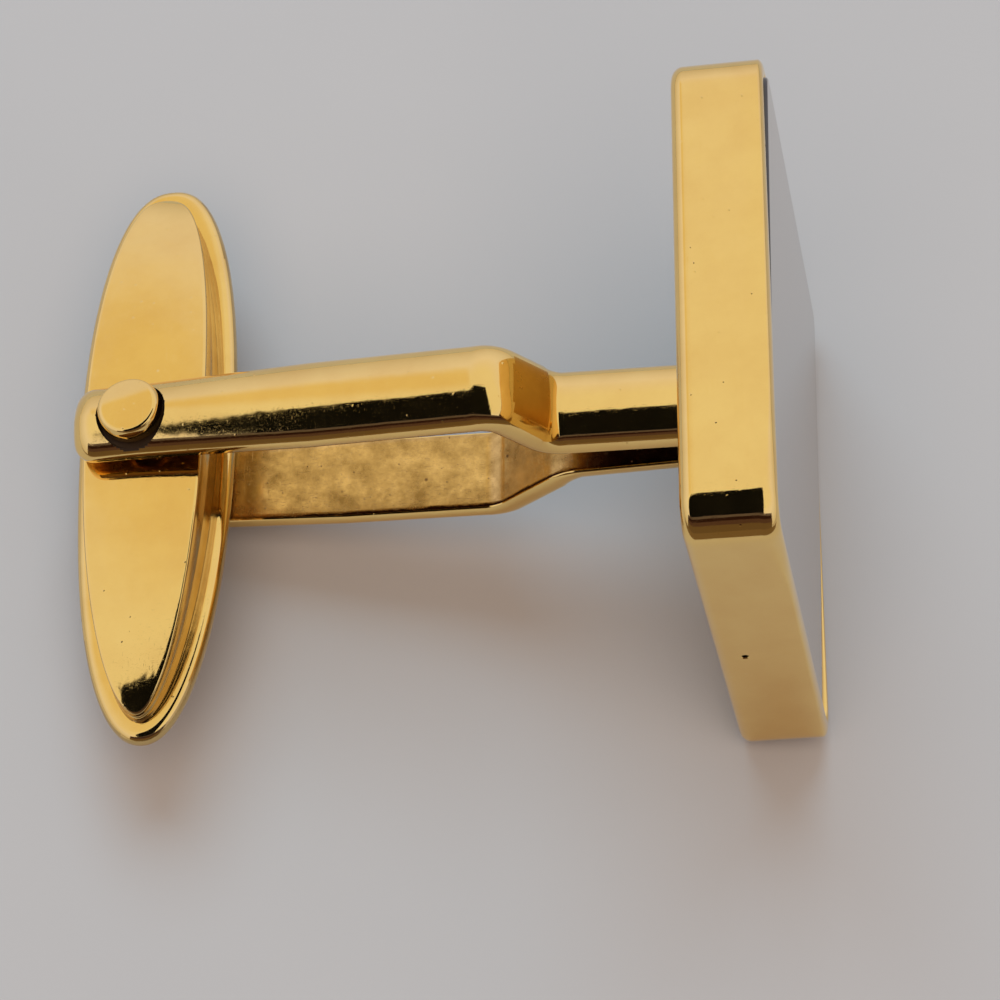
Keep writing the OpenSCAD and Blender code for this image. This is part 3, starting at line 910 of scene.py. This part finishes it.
# The room's warm patch: its direction, each axis's stretch, the distances between which it fades, its colour
PATCH_AT = (-0.44, 0.49, 0.735)
PATCH_STRETCH = (8.0, 2.5, 2.5)
PATCH_FROM, PATCH_TO = 0.3, 1.05
PATCH_COLOUR = (0.785, 0.675, 0.42)
# The dark shape of whoever takes the photograph, in millimetres on the view's own plane
DARK_OUTLINE = ((-28, 100), (-62, 58), (-66, 10), (-56, -45), (25, -45), (25, 100))
DARK_COLOUR = (0.004, 0.004, 0.004)
# Their clothes: a card just over the table, and bands on a plane that rises from the card's far edge. An edge
# has its Y and Z, and a band the share of that plane at which it ends, and its colour
CARD_HALF = 0.1
LAP_EDGE = (-0.032, 0.0005)
BAND_FOOT, BAND_TOP = np.array([-0.110, 0.001]), np.array([-0.075, 0.070])
LAP_COLOUR = (0.16, 0.11, 0.065)
BANDS = (
    (0.49, (0.123, 0.083, 0.050)),
    (0.73, (0.076, 0.043, 0.040)),
    (0.91, (0.023, 0.009, 0.006)),
    (1.05, (0.105, 0.085, 0.100)),
)


def make_floor():
    """The pale table."""
    half = FLOOR_HALF
    corners = [(-half, -half, 0), (half, -half, 0), (half, half, 0), (-half, half, 0)]
    floor = new_object("floor", corners, [(0, 1, 2, 3)])
    s = Shader("floor_card")
    tone = s.noise(s.even, scale=0.035, detail=3.0, roughness=0.5)
    s.link(s.mix_colour(s.ramp(tone, 0.3, 0.7), FLOOR_LIGHT, FLOOR_DARK), "Base Color")
    s.bsdf.inputs["Roughness"].default_value = 0.75
    s.link(s.bump(s.noise(s.even, scale=1.5, detail=4.0, roughness=0.6), 0.004), "Normal")
    dress(floor, s.material)


def make_card(name, points, colour):
    """A flat card of one even brightness, which only reflections show."""
    card = new_object(name, points, [list(range(len(points)))])
    material = bpy.data.materials.new(name)
    material.use_nodes = True
    tree = material.node_tree
    tree.nodes.remove(tree.nodes["Principled BSDF"])
    glow = tree.nodes.new("ShaderNodeEmission")
    glow.inputs["Color"].default_value = (*colour, 1)
    tree.links.new(glow.outputs[0], tree.nodes["Material Output"].inputs["Surface"])
    dress(card, material)
    card.visible_camera = False
    card.visible_diffuse = False
    card.visible_shadow = False


def make_clothes():
    """The card over the table, and the bands that rise behind it."""
    def strip(low, high):
        return [(-CARD_HALF, *low), (CARD_HALF, *low), (CARD_HALF, *high), (-CARD_HALF, *high)]

    make_card("lap_card", strip(LAP_EDGE, BAND_FOOT), LAP_COLOUR)
    band_from = 0.0
    for band_to, colour in BANDS:
        low, high = (BAND_FOOT + (BAND_TOP - BAND_FOOT) * share for share in (band_from, band_to))
        make_card("band_card_%02d" % round(100 * band_to), strip(low, high), colour)
        band_from = band_to


def make_lamp(name, place, size, power, colour):
    """A round lamp that shines on the origin, and that reflections don't show."""
    lamp = bpy.data.lights.new(name, "AREA")
    lamp.shape = "DISK"
    lamp.size = size
    lamp.energy = power
    lamp.color = colour
    obj = bpy.data.objects.new(name, lamp)
    obj.location = place
    obj.rotation_mode = "QUATERNION"
    obj.rotation_quaternion = (-Vector(place)).to_track_quat("-Z", "Y")
    obj.visible_glossy = False
    bpy.context.scene.collection.objects.link(obj)


def make_world():
    """A pale room: its light by height, and one warm patch high up behind the object."""
    world = bpy.data.worlds.new("room")
    bpy.context.scene.world = world
    world.use_nodes = True
    tree = world.node_tree
    place = tree.nodes.new("ShaderNodeTexCoord").outputs["Generated"]
    split = tree.nodes.new("ShaderNodeSeparateXYZ")
    tree.links.new(place, split.inputs[0])
    ramp = tree.nodes.new("ShaderNodeValToRGB")
    tree.links.new(split.outputs["Z"], ramp.inputs["Fac"])
    stops = ramp.color_ramp.elements
    for stop, (height, colour) in zip((stops[0], stops[1]), (ROOM_STOPS[0], ROOM_STOPS[-1])):
        stop.position = height
        stop.color = (*colour, 1)
    for height, colour in ROOM_STOPS[1:-1]:
        stops.new(height).color = (*colour, 1)
    scaled = tree.nodes.new("ShaderNodeMapping")
    tree.links.new(place, scaled.inputs["Vector"])
    scaled.inputs["Scale"].default_value = PATCH_STRETCH
    away = tree.nodes.new("ShaderNodeVectorMath")
    away.operation = "DISTANCE"
    tree.links.new(scaled.outputs["Vector"], away.inputs[0])
    away.inputs[1].default_value = [c * k for c, k in zip(PATCH_AT, PATCH_STRETCH)]
    fade = tree.nodes.new("ShaderNodeMapRange")
    fade.interpolation_type = "SMOOTHSTEP"
    tree.links.new(away.outputs["Value"], fade.inputs["Value"])
    fade.inputs["From Min"].default_value = PATCH_FROM
    fade.inputs["From Max"].default_value = PATCH_TO
    blend = tree.nodes.new("ShaderNodeMix")
    blend.data_type = "RGBA"
    tree.links.new(fade.outputs["Result"], blend.inputs["Factor"])
    blend.inputs[6].default_value = (*PATCH_COLOUR, 1)
    tree.links.new(ramp.outputs["Color"], blend.inputs[7])
    tree.links.new(blend.outputs[2], tree.nodes["Background"].inputs["Color"])
    tree.nodes["Background"].inputs["Strength"].default_value = 1.0


def make_camera():
    """The photograph's view: its direction, distance and slight roll."""
    azimuth, elevation, distance, roll = -6.707, 62.431, 105.232, 7.943
    target = Vector((1.4385, 0.7035, 0)) * MM
    a, e = math.radians(azimuth), math.radians(elevation)
    back = Vector((math.sin(a) * math.cos(e), -math.cos(a) * math.cos(e), math.sin(e)))
    data = bpy.data.cameras.new("camera")
    data.sensor_width = 36
    data.lens = 122.894
    data.clip_start = 0.005
    data.clip_end = 10
    camera = bpy.data.objects.new("camera", data)
    camera.location = target + back * distance * MM
    camera.rotation_mode = "QUATERNION"
    level = (-back).to_track_quat("-Z", "Y").to_matrix()
    camera.rotation_quaternion = (level @ Matrix.Rotation(math.radians(roll), 3, "Z")).to_quaternion()
    bpy.context.scene.collection.objects.link(camera)
    bpy.context.scene.camera = camera
    return Matrix.LocRotScale(camera.location, camera.rotation_quaternion, None)


# The object

view = make_camera()
case = make_case()
stone = make_stone()
near_arm = make_arm("near_arm_bar", "near_arm", NEAR_JOG, 1)
far_arm = make_arm("far_arm_bar", "far_arm", FAR_JOG, -1)
pin = make_pin()
core = make_core()
near_cheek, far_cheek = make_cheeks()

bright_gold = gold_material(
    "bright_gold", GOLD_LIGHT, GOLD_DARK,
    rough_low=0.04, rough_high=0.10, wave=0.009, pit=-0.008, scratch=0.00035,
)
# Painted shade: the darker gold of the toggle's upright faces
shaded_wall_gold = gold_material(
    "shaded_wall_gold", SHADED_WALL_LIGHT, SHADED_WALL_DARK,
    rough_low=0.14, rough_high=0.26, wave=0.004, pit=-0.004, scratch=0.0006,
)
# The filed flats: a real rougher finish, with a darker colour that is painted shade
filed_shaded_gold = gold_material(
    "filed_shaded_gold", FILED_SHADED_LIGHT, FILED_SHADED_DARK,
    rough_low=0.26, rough_high=0.36, wave=0.004, pit=-0.006, scratch=0.0015,
)
hidden_gold = gold_material(
    "seat_gold", GOLD_LIGHT, GOLD_DARK,
    rough_low=0.25, rough_high=0.4, wave=0.006, pit=-0.003, scratch=0.001,
)
# Near-black: painted shade in the heads' seats
seat_shade = plain_material(
    "seat_painted_shade", (0.035, 0.018, 0.008), (0.012, 0.006, 0.004),
    metallic=0.4, rough_low=0.35, rough_high=0.6, grain=5.0, depth=0.015,
)
cement = plain_material(
    "cement", (0.35, 0.33, 0.30), (0.25, 0.23, 0.2),
    metallic=0.0, rough_low=0.6, rough_high=0.85, grain=6.0, depth=0.02,
)
solder = plain_material(
    "solder", (0.62, 0.62, 0.60), (0.5, 0.49, 0.46),
    metallic=1.0, rough_low=0.25, rough_high=0.45, grain=2.5, depth=0.02,
)
spring = plain_material(
    "spring_steel", (0.55, 0.56, 0.58), (0.42, 0.42, 0.44),
    metallic=1.0, rough_low=0.2, rough_high=0.35, grain=8.0, depth=0.004,
)
satin_gold = inner_material()

for obj in (case, pin):
    dress(obj, bright_gold)
for obj in (near_arm, far_arm):
    dress(obj, bright_gold, satin_gold, seat_shade, filed_shaded_gold)
for obj in (core, near_cheek, far_cheek):
    mark_walls(obj)
    dress(obj, bright_gold, shaded_wall_gold)
dress(stone, stone_material())
for node, material in (
    ("seat_plate", hidden_gold),
    ("cement_bed", cement),
    ("post_solder", solder),
    ("left_detent_leaf", spring),
    ("right_detent_leaf", spring),
):
    dress(frame["nodes"][node], material)

# What stands round it

make_floor()
make_card("dark_card", [view @ Vector((x * MM, y * MM, 0)) for x, y in DARK_OUTLINE], DARK_COLOUR)
make_clothes()
make_world()
make_lamp("rear_softbox", (-0.08, 0.28, 0.42), size=0.4, power=3.8, colour=(0.42, 0.74, 1))
make_lamp("front_fill", (-0.035, -0.29, 0.56), size=0.6, power=4.0, colour=(1, 0.86, 0.72))
bpy.context.scene.view_settings.view_transform = "Standard"
